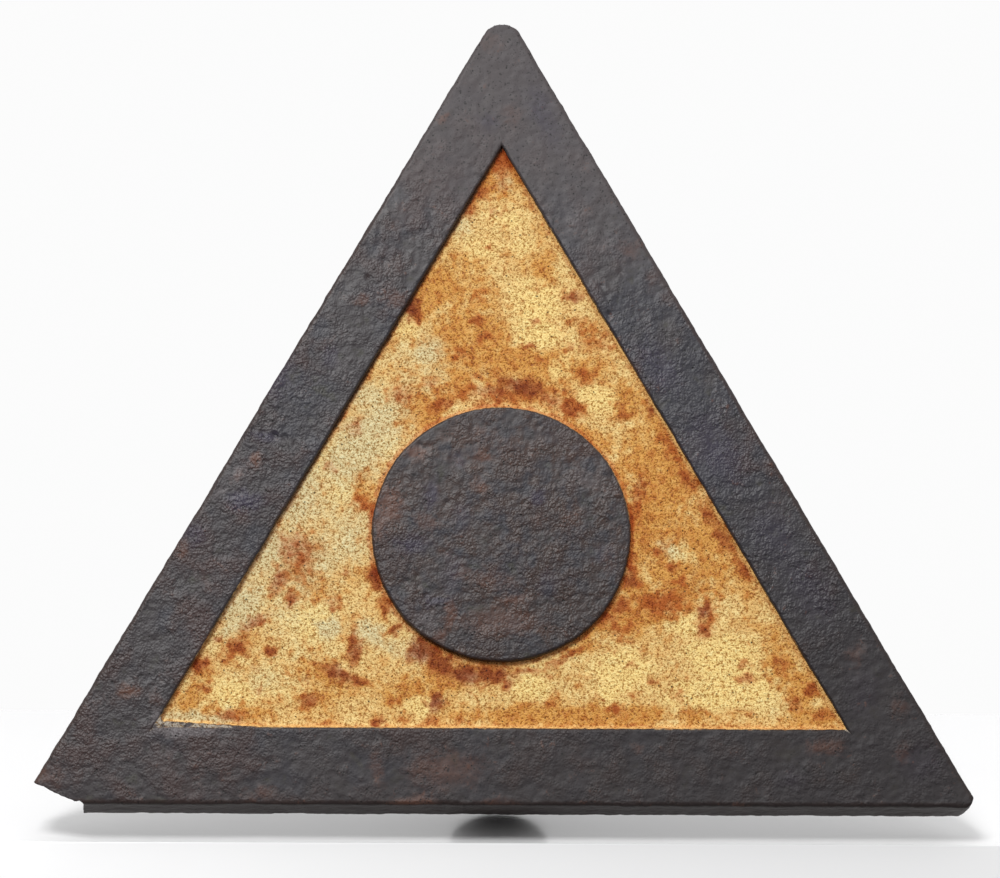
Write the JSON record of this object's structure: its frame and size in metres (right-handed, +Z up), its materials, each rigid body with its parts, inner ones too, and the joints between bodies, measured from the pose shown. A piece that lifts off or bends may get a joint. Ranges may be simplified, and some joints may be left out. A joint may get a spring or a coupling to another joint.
{
  "type": "cast iron railway sign",
  "caption": "Triangular cast iron warning sign with a raised black border and disc on a cream field, and a socket behind for a tube post.",
  "frame": {"origin": "centre of the post socket's mouth, on the post's axis", "axes": "the sign stands upright: +Z up along the post's axis, the front faces -Y, +X to the right seen from the front"},
  "size_m": [0.6488, 0.1314, 0.5609],
  "materials": {
    "field_cream": "old cream paint over sand cast iron, stained ochre and orange brown by rust",
    "border_black": "worn black paint over rough sand cast iron, with brown rust showing",
    "disc_black": "worn black paint over rough sand cast iron, slightly bluish, with rust tints",
    "back_iron": "thin old black paint over sand cast iron, browned by rust",
    "screw_steel": "rusted wrought steel with traces of black paint"
  },
  "bodies": {
    "root": {"face_plate": "field_cream", "border_left": "border_black", "border_right": "border_black", "border_bottom": "border_black", "centre_disc": "disc_black", "edge_left": "border_black", "edge_right": "border_black", "edge_bottom": "border_black", "spine_rib": "back_iron", "rib_left": "back_iron", "rib_right": "back_iron", "post_socket": "back_iron", "set_screws": "screw_steel", "lock_nuts": "screw_steel"}
  },
  "joints": []
}
